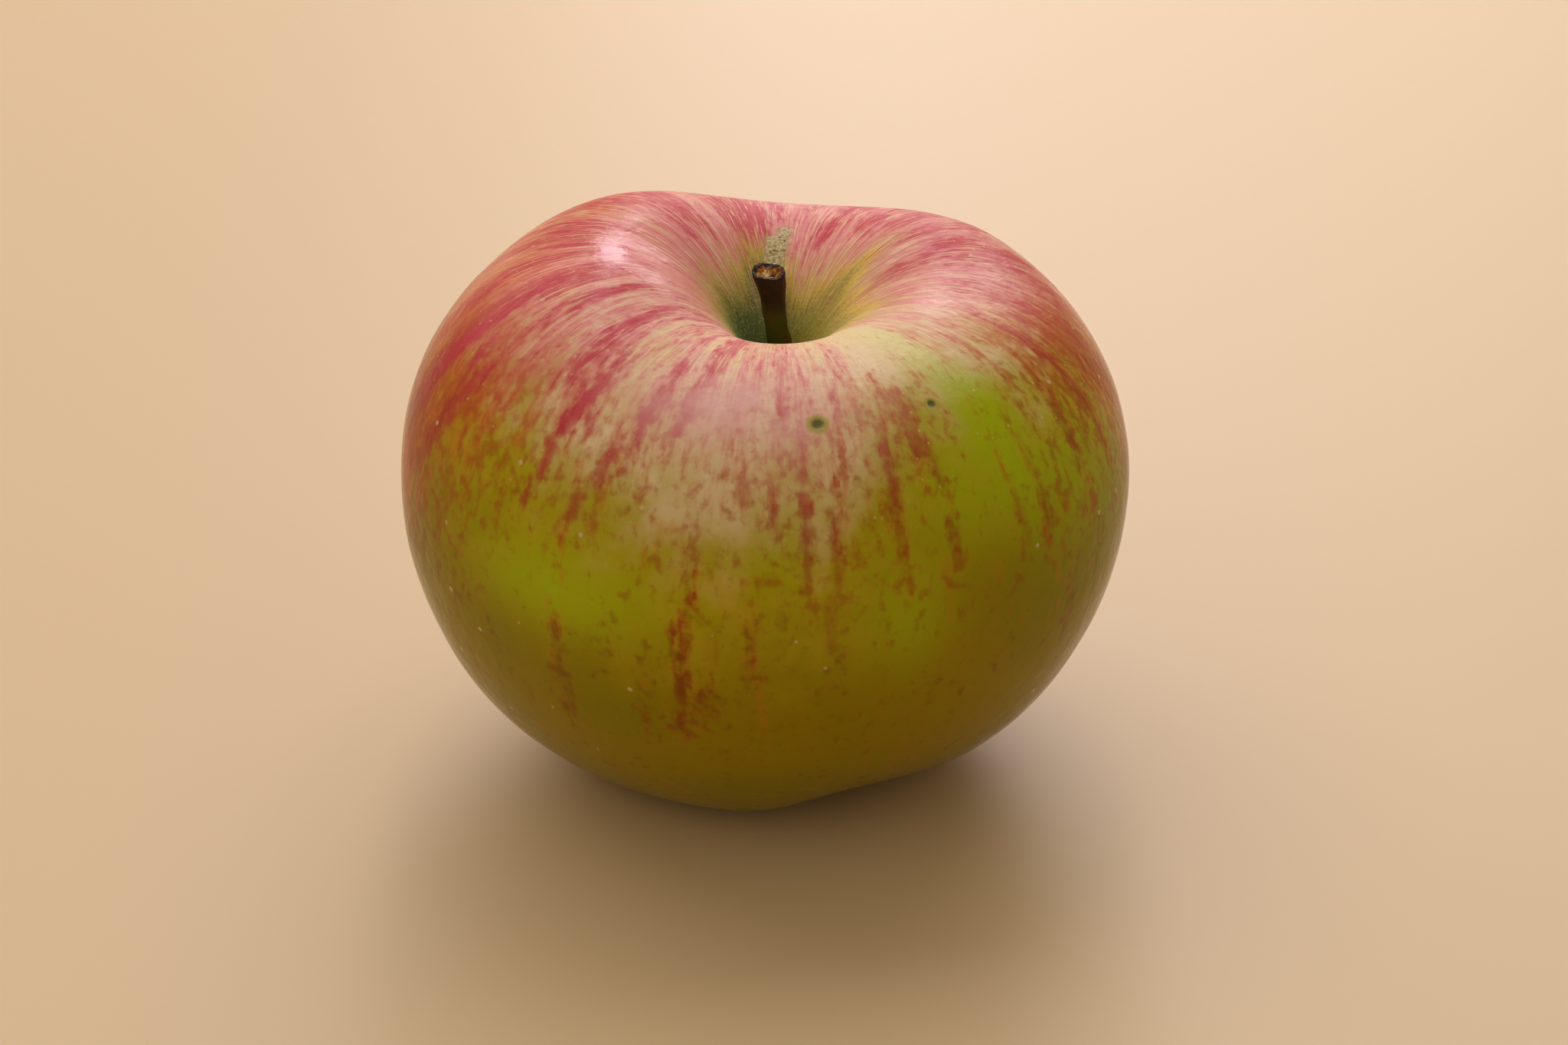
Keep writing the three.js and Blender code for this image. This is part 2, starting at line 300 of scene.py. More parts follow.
# Soft red-brown smudges under and round the streaks, given in the same way
SMUDGES = [
    (0.9, [(198.5, 28, 1.6), (200, 45, 2.2), (196, 60, 2.6), (190, 71, 3.2)]),
    (0.6, [(210, 30, 1.2), (211, 46, 1.8)]),
    (0.7, [(208, 50, 1.4), (204, 64, 2.4), (196, 74, 2.8)]),
    (0.6, [(225, 26, 1.4), (225.5, 52, 1.6)]),
    (0.6, [(232.5, 42, 1.0), (231.5, 60, 2.2)]),
    (0.5, [(230, 60, 1.6), (228, 75, 1.2)]),
    (0.6, [(239.5, 23, 1.6), (241, 37, 1.8)]),
    (0.5, [(246, 42, 0.9), (244, 61, 1.7)]),
    (0.4, [(241, 57, 1.4), (236, 76, 1.6)]),
    (0.6, [(254.5, 29, 1.7), (251.5, 58, 1.8)]),
    (0.45, [(265, 38, 1.5), (264.5, 67, 2.2)]),
    (0.5, [(270.8, 35, 1.6), (271, 58, 2.0)]),
    (0.4, [(280, 44, 2.2), (279, 60, 3.0)]),
    (0.4, [(286, 35, 1.2), (287, 50, 1.3)]),
    (0.6, [(296, 45, 2.0), (296, 61, 2.0)]),
    (0.5, [(303, 44, 2.4), (302, 58, 1.6)]),
    (0.45, [(298, 60, 1.2), (298.5, 79, 1.3)]),
    (0.5, [(289, 55, 1.3), (289.5, 81, 1.3)]),
    (0.5, [(274.5, 54, 1.2), (274, 82, 1.3)]),
    (0.4, [(269.5, 61, 1.3), (270.5, 84, 1.2)]),
    (0.4, [(257.3, 64, 1.1), (256.6, 90, 1.1)]),
    (0.4, [(279, 64, 1.0), (279, 94, 1.6)]),
    (0.4, [(247, 62, 1.4), (248, 67, 1.6)]),
    (0.45, [(252.5, 70, 0.9), (249, 76, 1.2)]),
    (0.4, [(316.8, 58, 1.2), (317.5, 80, 1.4)]),
    (0.4, [(310, 68, 1.0), (313, 79, 1.2)]),
    (0.55, [(322, 42, 1.6), (323, 74, 1.6)]),
    (0.4, [(330, 40, 1.6), (329, 79, 1.6)]),
    (0.5, [(338.5, 42, 1.7), (338, 73, 1.9)]),
    (0.45, [(346, 40, 2.2), (346, 76, 2.4)]),
    (0.7, [(354, 38, 2.2), (355, 77, 2.6)]),
    (0.35, [(266, 80, 0.9), (265.7, 93, 0.8)]),
    (0.8, [(255.5, 84, 1.2), (254.5, 105, 1.7)]),
    (0.7, [(259, 95, 1.9), (259.5, 102, 2.2)]),
    (0.6, [(235, 88, 1.2), (234.5, 108, 1.8)]),
    (0.5, [(250, 88, 1.2), (249.5, 106, 1.6)]),
    (0.35, [(322.5, 88, 1.0), (324.5, 102, 1.3)]),
    (0.4, [(244.5, 84, 0.8), (245, 89, 1.0)]),
    (0.3, [(309, 95, 1.2), (310, 99, 1.2)]),
]

# Round the back, where the photograph doesn't reach, streaks and smudges of the same kind are drawn at random
BACK_STREAKS = 110
SMUDGE_WIDER = 2.4
draw = random.Random(7)
for _ in range(BACK_STREAKS):
    turn = draw.uniform(8, 188)
    top = draw.uniform(24, 66)
    length = draw.uniform(5, 22)
    drift = draw.uniform(-3, 3)
    width = draw.uniform(0.3, 1.0)
    strength = draw.uniform(0.4, 1.0)
    for lines, wider in ((STREAKS, 1.0), (SMUDGES, SMUDGE_WIDER)):
        upper = (turn, top, 0.5 * width * wider)
        middle = (turn + 0.5 * drift, top + 0.6 * length, width * wider)
        lower_end = (turn + drift, top + length, 0.6 * width * wider)
        lines.append((strength, [upper, middle, lower_end]))


def over_azimuth(table, column):
    """One column of a table whose rows start with an azimuth, read at every point of the skin."""
    return np.interp(azimuth, [row[0] for row in table], [row[column] for row in table])


# Where the sun coloured the skin, most of all on the left: azimuth, the polar angle at which the red wash
# ends, its strength, and the strength of the small flecks in its lower part and below it
BLUSH = [
    (0, 86, 0.85, 1.3),
    (28, 86, 0.85, 1.0),
    (46, 96, 0.85, 0.8),
    (64, 78, 0.80, 0.8),
    (84, 98, 0.90, 0.8),
    (104, 82, 0.85, 0.9),
    (122, 100, 1.00, 0.9),
    (140, 84, 0.95, 1.1),
    (158, 98, 1.05, 1.0),
    (180, 90, 1.10, 1.3),
    (195, 85, 1.05, 1.4),
    (205, 77, 0.90, 1.3),
    (215, 68, 0.80, 1.1),
    (226, 62, 0.65, 0.6),
    (238, 55, 0.50, 0.35),
    (250, 58, 0.42, 0.3),
    (265, 61, 0.50, 0.4),
    (280, 60, 0.50, 0.45),
    (288, 54, 0.26, 0.5),
    (294, 46, 0.22, 0.5),
    (306, 44, 0.08, 0.4),
    (312, 42, 0.08, 0.2),
    (316, 52, 0.50, 0.5),
    (322, 56, 0.50, 0.9),
    (335, 60, 0.60, 1.2),
    (348, 76, 0.76, 1.4),
    (360, 86, 0.85, 1.3),
]

# The flecks thin out to nothing at this polar angle, or lower where the wash reaches further down
FLECKS_END = 108
wash_end = over_azimuth(BLUSH, 1)
blush = over_azimuth(BLUSH, 2) * (1 - eased(polar, wash_end - 16, wash_end + 12))
fleck_end = np.maximum(wash_end + 24, FLECKS_END)
fleck = over_azimuth(BLUSH, 3) * eased(polar, 40, 55) * (1 - eased(polar, wash_end + 4, fleck_end))

# Inside the cavity: azimuth, the polar angle at which its green gives way to the wash, and how golden it is
CAVITY = [
    (0, 22, 1.0),
    (26, 22, 1.0),
    (37, 27, 1.0),
    (48, 22, 0.9),
    (65, 20, 0.7),
    (80, 22, 0.4),
    (94, 26, 0.3),
    (106, 26, 0.2),
    (120, 20, 0.1),
    (150, 19, 0.0),
    (180, 18, 0.0),
    (210, 17, 0.0),
    (240, 16, 0.2),
    (258, 19, 0.3),
    (270, 29, 0.5),
    (280, 20, 0.5),
    (310, 20, 0.8),
    (330, 24, 0.7),
    (348, 24, 0.8),
    (360, 22, 1.0),
]

# How many degrees up the skin the changes of colour are moved: azimuth, for the ground, and for the reds. At
# the front right (azimuth 300 to 338) the shift is painted shade: the darker olive ground and rustier reds
# start higher up there.
EARLIER_AND_SHADE = [
    (0, 3, 3),
    (160, 14, 0),
    (208, 16, 0),
    (234, 1, 0),
    (256, -3, 0),
    (276, -2, 0),
    (300, 15, 13),
    (338, 15, 13),
    (360, 3, 3),
]


def soft_patch(patch_azimuth, patch_polar, half_turn, half_polar):
    """1 in the middle of a patch of the skin, fading out over its half widths in degrees."""
    turned = turn_from(patch_azimuth, azimuth) / half_turn
    return np.exp(-(turned**2) - ((polar - patch_polar) / half_polar) ** 2)


# Bright green patches, where leaves kept the sun off: azimuth, polar angle, half widths in degrees, amount
GREEN_PATCHES = [
    (236, 82, 16, 7, 1.0),
    (312, 56, 7, 14, 1.0),
    (307, 35, 7, 13, 0.85),
    (322, 70, 12, 12, 0.6),
    (290, 84, 8, 9, 0.6),
    (301, 67, 9, 8, 0.7),
    (338, 74, 10, 10, 0.4),
    (270, 74, 5, 5, 0.3),
    (60, 100, 20, 10, 0.6),
    (130, 108, 24, 9, 0.5),
]
green = np.zeros(len(points))
for *patch, amount in GREEN_PATCHES:
    green += amount * soft_patch(*patch)
green = np.clip(green, 0, 1)

# The lip of the cavity is dull at the front and at the back, where fine russet covers the wax, and a little
# on the right: azimuth, degrees from there at which it starts to shine and shines fully, and how dull it is
DULL_LIP = [
    (278, 40, 70, 1.0),
    (79, 56, 70, 0.9),
    (20, 30, 50, 0.4),
]
dull_lip = np.zeros(len(points))
for dull_azimuth, fades_from, shines_at, amount in DULL_LIP:
    dull = amount * (1 - eased(np.abs(turn_from(dull_azimuth, azimuth)), fades_from, shines_at))
    dull_lip = np.maximum(dull_lip, dull)
dull_lip *= 1 - eased(polar, 34, 60)

# A painted sheen on the front shoulder: the reflection of a soft light above the front, laid on as a pale
# pink patch and given like a green patch. Then the side that the sun reddened most.
SHEEN_PATCH = (262, 50.5, 22, 8)
SUNNY_AZIMUTH = 150
sunny = 1 - eased(np.abs(turn_from(SUNNY_AZIMUTH, azimuth)), 30, 75)

# What the material reads at each vertex. Low smudges are stronger.
streak, streak_strength = nearest_line(STREAKS, azimuth, polar, from_axis, from_centre)
smudge, smudge_strength = nearest_line(SMUDGES, azimuth, polar, from_axis, from_centre)
stronger_low = 1 + 0.6 * eased(polar, 74, 86)
paint(skin.data, "streak", streak)
paint(skin.data, "streak_strength", streak_strength)
paint(skin.data, "smudge", smudge_strength * eased(smudge, -1.2, 1.2) * stronger_low)
paint(skin.data, "blush", blush)
paint(skin.data, "sunny", sunny)
paint(skin.data, "fleck", fleck * (1 - 0.8 * green))
paint(skin.data, "green", green)
# The two angles below carry the painted shade of the front right
paint(skin.data, "ground_angle_and_shade", polar + over_azimuth(EARLIER_AND_SHADE, 1))
paint(skin.data, "red_angle_and_shade", polar + over_azimuth(EARLIER_AND_SHADE, 2))
paint(skin.data, "painted_sheen", soft_patch(*SHEEN_PATCH))
paint(skin.data, "into_cavity", over_azimuth(CAVITY, 1) - polar)
paint(skin.data, "golden", over_azimuth(CAVITY, 2))
paint(skin.data, "dull_lip", dull_lip)
paint(skin.data, "scar", scar)


def colour(red, green, blue):
    """A colour given as on a screen, from 0 to 255, as the shader needs it."""
    def linear(level):
        level = level / 255
        return level / 12.92 if level <= 0.04045 else ((level + 0.055) / 1.055) ** 2.4
    return (linear(red), linear(green), linear(blue), 1.0)


class Finish:
    """A material whose nodes are added one call at a time. Most calls give back their node's output."""

    def __init__(self, name):
        self.material = bpy.data.materials.new(name)
        self.material.use_nodes = True
        self.tree = self.material.node_tree
        self.surface = self.tree.nodes["Principled BSDF"]
        self.colour = None
        # The place of a point, in mm from the core's middle
        where = self.tree.nodes.new("ShaderNodeTexCoord").outputs["Object"]
        from_core = self.vector("SUBTRACT", where, tuple(CORE))
        self.place = self.vector("MULTIPLY", from_core, (1 / MILLIMETRE,) * 3)

    def node(self, kind, inputs, **settings):
        node = self.tree.nodes.new("ShaderNode" + kind)
        for name, value in settings.items():
            setattr(node, name, value)
        for socket, source in inputs.items():
            if isinstance(source, bpy.types.NodeSocket):
                self.tree.links.new(source, node.inputs[socket])
            else:
                node.inputs[socket].default_value = source
        return node

    def vector(self, operation, first, second=(0, 0, 0)):
        node = self.node("VectorMath", {0: first, 1: second}, operation=operation)
        return node.outputs["Value" if operation in ("LENGTH", "DISTANCE") else "Vector"]

    def maths(self, operation, first, second):
        return self.node("Math", {0: first, 1: second}, operation=operation).outputs[0]

    def times(self, first, second):
        return self.maths("MULTIPLY", first, second)

    def between(self, value, low, high, start=0.0, end=1.0):
        """Goes smoothly from start to end as the value goes from low to high."""
        inputs = {"Value": value, "From Min": low, "From Max": high, "To Min": start, "To Max": end}
        return self.node("MapRange", inputs, interpolation_type="SMOOTHSTEP").outputs[0]

    def noise(self, vector, scale, detail=2.0, roughness=0.5):
        inputs = {"Vector": vector, "Scale": scale, "Detail": detail, "Roughness": roughness}
        return self.node("TexNoise", inputs).outputs["Fac"]

    def stirred(self, value, *noises):
        """The value moved up and down by noises, each given with an amount. A noise of 0.5 moves nothing."""
        for source, amount in noises:
            value = self.maths("ADD", value, self.times(self.maths("SUBTRACT", source, 0.5), amount))
        return value

    def dots(self, scale, edge, middle):
        """Scattered dots: 1 within middle of a dot's centre and 0 past edge, both in cell widths."""
        cells = self.node("TexVoronoi", {"Vector": self.place, "Scale": scale})
        return self.between(cells.outputs["Distance"], edge, middle)

    def painted(self, name):
        return self.node("Attribute", {}, attribute_name=name).outputs["Fac"]

    def mixed(self, share, first, second):
        """The first colour where the share is 0, and the second where it is 1."""
        # A Mix node's colours are its inputs 6 and 7 and its output 2
        return self.node("Mix", {0: share, 6: first, 7: second}, data_type="RGBA").outputs[2]

    def coat(self, share, tint):
        """Lays a tint over the colour so far, fully where the share is 1."""
        self.colour = self.mixed(share, self.colour, tint)

    def bump(self, height, distance, over=None):
        """A normal for a surface that rises by the distance as the height goes from 0 to 1."""
        inputs = {"Height": height, "Distance": distance}
        if over is not None:
            inputs["Normal"] = over
        return self.node("Bump", inputs).outputs["Normal"]

    def link(self, socket, source):
        self.tree.links.new(source, self.surface.inputs[socket])

    def dress(self, piece):
        """Gives the material to a piece, as its only one."""
        piece.data.materials.clear()
        piece.data.materials.append(self.material)


wax = Finish("waxed_apple_skin")
parts = wax.node("SeparateXYZ", {"Vector": wax.place})
flat = wax.node("CombineXYZ", {"X": parts.outputs["X"], "Y": parts.outputs["Y"]}).outputs[0]
heading = wax.vector("NORMALIZE", flat)
down_angle = wax.maths("ARCTAN2", wax.vector("LENGTH", flat), parts.outputs["Z"])
degrees_down = wax.times(down_angle, 180 / math.pi)


def along_meridians(across, down):
    """Coordinates in which a pattern runs from stalk to calyx: features per radian each way."""
    turned = wax.vector("MULTIPLY", heading, (across, across, across))
    drop = wax.node("CombineXYZ", {"Z": wax.times(down_angle, down)}).outputs[0]
    return wax.vector("ADD", turned, drop)


# The patterns that the colours share: clouds and grains, and bands and rays that run from stalk to calyx
broad = wax.noise(wax.place, 0.045, 2.0)
cloudy = wax.noise(wax.place, 0.16, 3.0, 0.6)
speckle = wax.noise(wax.place, 1.5, 3.0, 0.6)
grit = wax.noise(wax.place, 3.2, 2.0, 0.6)
grains = wax.noise(along_meridians(40, 24), 1.0, 3.0, 0.5)
crumbs = wax.noise(along_meridians(34, 28), 1.0, 2.0, 0.5)
bands = wax.noise(along_meridians(13, 1.6), 1.0, 3.0, 0.6)
rays = wax.noise(along_meridians(30, 3.0), 1.0, 4.0, 0.65)
fine_rays = wax.noise(along_meridians(85, 9), 1.0, 3.0, 0.6)

blush_here = wax.painted("blush")
smudge_here = wax.painted("smudge")
red_angle_and_shade = wax.painted("red_angle_and_shade")
ground_angle_and_shade = wax.painted("ground_angle_and_shade")
golden_here = wax.painted("golden")
into_cavity = wax.painted("into_cavity")

# Ground colour: creamy at the shoulder, yellow-green and then olive below it, and golden underneath. The
# olive below is laid on darker as painted shade. The changes come higher up on the left and at the front
# right than at the front, and at the front right that is painted shade.
clouds = wax.between(cloudy, 0.35, 0.65)
shoulder = wax.mixed(clouds, colour(237, 212, 180), colour(232, 208, 156))
flank = wax.mixed(clouds, colour(186, 162, 32), colour(176, 162, 16))
olive_and_shade_below = wax.mixed(wax.between(broad, 0.35, 0.65), colour(150, 128, 0), colour(138, 126, 0))
wax.colour = shoulder
wax.coat(wax.between(wax.stirred(ground_angle_and_shade, (cloudy, 30)), 48, 78), flank)
wax.coat(wax.between(wax.stirred(ground_angle_and_shade, (cloudy, 20)), 72, 100), olive_and_shade_below)
# Green where leaves kept the sun off, turning pale cream higher than about 45 degrees down. That pale part is
# painted sheen over the green skin.
leaf_green_and_sheen = wax.mixed(wax.between(degrees_down, 38, 56), colour(228, 220, 160), colour(170, 186, 10))
wax.coat(wax.times(wax.painted("green"), wax.between(cloudy, 0.25, 0.55, 0.7, 1.0)), leaf_green_and_sheen)
wax.coat(wax.between(degrees_down, 125, 168), colour(184, 158, 40))

# The pink wash, laid on in bands and rays: rosy on the shoulder, redder at the back left, and rusty below
reddened = wax.times(wax.painted("sunny"), wax.between(degrees_down, 28, 42))
rosy = wax.mixed(reddened, colour(234, 134, 152), colour(224, 104, 92))
pink = wax.mixed(wax.between(red_angle_and_shade, 42, 64), rosy, colour(204, 106, 38))
wash = wax.maths("ADD", blush_here, wax.times(smudge_here, 0.35))
wash = wax.stirred(wash, (bands, 1.6), (rays, 1.0), (grains, 1.3))
wax.coat(wax.between(wash, 0.1, 1.05, 0, 0.85), pink)

# Deeper red in the same bands, in grains that thin out to separate flecks
red = wax.mixed(wax.between(red_angle_and_shade, 50, 72), colour(194, 56, 76), colour(160, 62, 24))
red = wax.mixed(wax.between(degrees_down, 78, 92), red, colour(134, 74, 18))
deep = wax.maths("ADD", wax.times(blush_here, 0.55), wax.times(smudge_here, 0.75))
deep = wax.stirred(deep, (bands, 1.4), (rays, 1.5), (grains, 1.8), (speckle, 0.5))
wax.coat(wax.between(deep, 0.6, 1.4, 0, 0.85), red)

# Small rusty flecks in the lower part of the wash and below it
fleck_red = wax.mixed(wax.between(red_angle_and_shade, 48, 72), colour(204, 88, 70), colour(162, 74, 24))
fleck_red = wax.mixed(wax.between(degrees_down, 76, 92), fleck_red, colour(128, 78, 16))
flecks = wax.maths("ADD", wax.times(wax.painted("fleck"), 0.55), wax.times(smudge_here, 0.5))
flecks = wax.stirred(flecks, (crumbs, 3.2), (speckle, 0.9), (cloudy, 1.0), (bands, 1.0))
wax.coat(wax.between(flecks, 0.15, 1.2, 0, 0.6), fleck_red)

# The clear streaks, with grainy edges, and browner and fainter towards the base
streak_red = wax.mixed(wax.between(red_angle_and_shade, 52, 80), colour(204, 54, 84), colour(146, 62, 20))
streak_red = wax.mixed(wax.between(degrees_down, 82, 94), streak_red, colour(134, 66, 16))
frayed = wax.stirred(wax.painted("streak"), (grains, 1.1), (speckle, 0.5), (crumbs, 1.0))
streaky = wax.times(wax.between(frayed, -0.6, 0.45), wax.painted("streak_strength"))
wax.coat(wax.times(streaky, wax.between(red_angle_and_shade, 52, 80, 0.82, 0.64)), streak_red)

# A painted sheen: a pale pink reflection of a soft light above the front, laid in soft patches on the front
# shoulder
wax.coat(wax.times(wax.painted("painted_sheen"), wax.between(cloudy, 0.36, 0.6, 0.25, 0.8)), colour(246, 198, 204))

# Inside the cavity: a tan border of rays, then yellow-green or golden russet, and grey-green or khaki at the
# bottom, all grainy
border = wax.stirred(into_cavity, (rays, 18), (fine_rays, 14), (speckle, 5))
wall = wax.mixed(golden_here, colour(180, 182, 44), colour(240, 206, 72))
bottom = wax.mixed(golden_here, colour(94, 116, 74), colour(176, 166, 74))
russet = wax.mixed(wax.between(wax.stirred(into_cavity, (rays, 10)), 0, 6), wall, bottom)
russet = wax.mixed(wax.between(grit, 0.5, 0.72, 0, 0.5), russet, colour(214, 192, 134))
russet = wax.mixed(wax.between(grit, 0.46, 0.3, 0, 0.45), russet, colour(96, 92, 46))
rim = wax.times(wax.between(border, -7, 2), wax.between(golden_here, 0.0, 1.0, 0.4, 0.7))
wax.coat(rim, colour(198, 170, 114))
cavity = wax.between(border, -2, 3)
wax.coat(cavity, russet)

# Fine hairlines that run down into the cavity: deep pink ones, and pale ones of thin cork
on_top = wax.times(wax.between(degrees_down, 54, 38), wax.between(degrees_down, 13, 18))
pink_hairs = wax.times(wax.between(fine_rays, 0.47, 0.38, 0, 0.55), on_top)
wax.coat(wax.times(pink_hairs, blush_here), colour(206, 66, 96))
pale_hairs = wax.times(wax.between(fine_rays, 0.54, 0.64, 0, 0.6), on_top)
wax.coat(pale_hairs, colour(244, 216, 172))

# Breathing pores: small pale dots with room between them, and finer ones that lie closer on the shoulder
pore = wax.times(wax.dots(0.26, 0.10, 0.05), wax.between(wax.noise(wax.place, 0.3), 0.43, 0.5))
wax.coat(wax.times(pore, 0.7), colour(222, 194, 148))
on_shoulder = wax.times(wax.between(degrees_down, 80, 56), wax.between(degrees_down, 24, 32))
fine_pore = wax.times(wax.dots(0.6, 0.13, 0.05), wax.times(on_shoulder, wax.between(cloudy, 0.4, 0.56)))
wax.coat(wax.times(fine_pore, 0.5), colour(240, 208, 150))

# The healed specks: a dark green-grey middle in a pale yellow-green ring
for speck, centre in zip(SPECKS, speck_centres):
    radius = speck["radius"] / MILLIMETRE
    away = wax.vector("DISTANCE", wax.place, tuple((centre - CORE) / MILLIMETRE))
    away = wax.stirred(away, (speckle, 0.5))
    wax.coat(wax.between(away, 2.4 * radius, 1.5 * radius, 0, 0.8), colour(178, 168, 78))
    wax.coat(wax.between(away, 1.5 * radius, 0.6 * radius, 0, 0.85), colour(82, 92, 56))

# The corky scar: khaki in a grey-green border, with dark broken cracks across it
cracks = wax.noise(wax.vector("MULTIPLY", wax.place, (1.6, 3.0, 3.0)), 1.0, 3.0, 0.6)
ragged_scar = wax.stirred(wax.painted("scar"), (grit, 1.2), (cracks, 1.6))
wax.coat(wax.between(ragged_scar, -0.7, -0.1, 0, 0.4), colour(150, 148, 92))
cork = wax.mixed(wax.between(grit, 0.4, 0.65), colour(184, 170, 124), colour(220, 206, 168))
cork = wax.mixed(wax.between(cracks, 0.56, 0.66), cork, colour(110, 96, 62))
scar_mask = wax.between(ragged_scar, -0.15, 0.15)
wax.coat(scar_mask, cork)
wax.link("Base Color", wax.colour)

# The wax is smooth, a little less so in clouds, and russet, cork and the dull lip are rough
MATT = 0.55
gloss = wax.between(cloudy, 0.3, 0.7, 0.15, 0.22)
matt = wax.maths("MAXIMUM", wax.maths("MAXIMUM", scar_mask, cavity), wax.painted("dull_lip"))
rougher = wax.times(matt, wax.maths("SUBTRACT", MATT, gloss))
wax.link("Roughness", wax.maths("ADD", gloss, rougher))
wax.surface.inputs["IOR"].default_value = 1.45
wax.surface.inputs["Specular IOR Level"].default_value = 0.10

SWELL_HEIGHT = 0.12 * MILLIMETRE
PORE_HEIGHT = 0.03 * MILLIMETRE
swell = wax.bump(wax.noise(wax.place, 0.5, 2.0), SWELL_HEIGHT)
wax.link("Normal", wax.bump(wax.maths("ADD", speckle, wax.times(pore, 0.8)), PORE_HEIGHT, swell))

wax.dress(skin)
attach(skin, "root")
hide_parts("fruit")

# The stalk
# The woody stem that the fruit hung from, torn off the spur at its top, with its root grown into the cavity's
# floor. Its bark is smooth and dark, and the torn end shows pale wood round a pit.

stalk = smoothed_object("stalk_bark", quad_copy("stalk"), 3)
stalk_points = points_of(stalk.data)
stalk_normals = normals_of(stalk.data)
top_of_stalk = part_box("stalk")[1].z

# The torn end: a shallow ragged cup inside a thin rim of bark, with a pit right of its middle
END_HALF_WIDTH = 1.65 * MILLIMETRE
END_HEIGHT = 1.6 * MILLIMETRE
RIM = 0.86
CUP_DEPTH = 0.12 * MILLIMETRE
TEAR_DEPTH = 0.35 * MILLIMETRE
TEAR_SIZE = 0.5 * MILLIMETRE
PIT_DEPTH = 0.5 * MILLIMETRE
RIM_WEAR = 0.14 * MILLIMETRE
end_slice = stalk_points[stalk_points[:, 2] > top_of_stalk - 0.9 * MILLIMETRE]
end_middle = (end_slice.min(0) + end_slice.max(0)) / 2
end_across = (stalk_points[:, 0] - end_middle[0]) / END_HALF_WIDTH
end_back = (stalk_points[:, 1] - end_middle[1]) / END_HALF_WIDTH
from_middle = np.hypot(end_across, end_back)
on_end = (stalk_normals[:, 2] > 0.35) * (stalk_points[:, 2] > top_of_stalk - END_HEIGHT)
torn = on_end * (1 - eased(from_middle, RIM - 0.08, RIM + 0.1))
tears = wobble(stalk_points, TEAR_SIZE, 3)
pit = torn * np.exp(-(((end_across - 0.22) / 0.3) ** 2) - ((end_back + 0.05) / 0.4) ** 2)
stalk_points[:, 2] -= CUP_DEPTH * torn + TEAR_DEPTH * torn * tears + PIT_DEPTH * pit
stalk_points[:, 2] -= RIM_WEAR * on_end * (1 - torn) * (0.5 + tears)

# Low ridges along the bark, and soft knots
RIDGE_HEIGHT = 0.05 * MILLIMETRE
RIDGE_SIZE = 0.9 * MILLIMETRE
KNOT_HEIGHT = 0.07 * MILLIMETRE
KNOT_SIZE = 1.6 * MILLIMETRE
ridges = RIDGE_HEIGHT * wobble(stalk_points * np.array([1, 1, 0.16]), RIDGE_SIZE)
knots = KNOT_HEIGHT * wobble(stalk_points, KNOT_SIZE)
bark_relief = (ridges + knots) * (1 - on_end)
put_points(stalk.data, stalk_points + stalk_normals * bark_relief[:, None])

# The cup is brown at its edge, most of all at the back right, and its pale heart lies left of its middle
end_edge = from_middle + 0.3 * tears + 0.25 * (end_back + end_across)
paint(stalk.data, "torn", torn)
paint(stalk.data, "pit", pit)
paint(stalk.data, "end_rim", torn * eased(end_edge, 0.55, 0.95))
paint(stalk.data, "heart", np.exp(-(((end_across + 0.12) / 0.42) ** 2) - ((end_back - 0.1) / 0.4) ** 2))

# Dark brown bark, greener towards the root and redder on the right, over pale wood
bark = Finish("stalk_bark")
bark_grain = bark.noise(bark.vector("MULTIPLY", bark.place, (1, 1, 0.2)), 1.6, 4.0, 0.6)
bark_parts = bark.node("SeparateXYZ", {"Vector": bark.place})
greenness = bark.between(bark.maths("ADD", bark_parts.outputs["Z"], bark_grain), 25.2, 22.6)
bark.colour = bark.mixed(greenness, colour(44, 27, 14), colour(66, 68, 20))
bark.coat(bark.between(bark_grain, 0.5, 0.72, 0, 0.6), colour(92, 52, 22))
bark.coat(bark.between(bark_parts.outputs["X"], 0.7, 1.7, 0, 0.35), colour(108, 54, 18))
fibres = bark.noise(bark.place, 1.4, 3.0, 0.6)
wood = bark.mixed(bark.between(fibres, 0.42, 0.6), colour(160, 92, 28), colour(208, 160, 84))
pale_heart = bark.stirred(bark.painted("heart"), (fibres, 1.6))
wood = bark.mixed(bark.between(pale_heart, 0.32, 0.6), wood, colour(246, 224, 172))
wood = bark.mixed(bark.painted("end_rim"), wood, colour(130, 70, 22))
wood = bark.mixed(bark.painted("pit"), wood, colour(48, 22, 8))
bark.coat(bark.between(bark.painted("torn"), 0.3, 0.7), wood)
bark.link("Base Color", bark.colour)
bark.surface.inputs["Roughness"].default_value = 0.5
bark.surface.inputs["Specular IOR Level"].default_value = 0.15
GRAIN_HEIGHT = 0.06 * MILLIMETRE
bark.link("Normal", bark.bump(bark_grain, GRAIN_HEIGHT))

bark.dress(stalk)
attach(stalk, "root")
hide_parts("stalk")

# The sepals
# Five small leaves that closed over the flower before it opened, now dry, brown and brittle. They grow from
# the rim of the calyx tube underneath the fruit, and curled as they dried.

WRINKLE_HEIGHT = 0.08 * MILLIMETRE
WRINKLE_SIZE = 0.7 * MILLIMETRE
sepals = smoothed_object("sepals_dry", quad_copy("sepals"), 1)
sepal_points = points_of(sepals.data)
wrinkles = WRINKLE_HEIGHT * wobble(sepal_points, WRINKLE_SIZE, 3)
put_points(sepals.data, sepal_points + normals_of(sepals.data) * wrinkles[:, None])

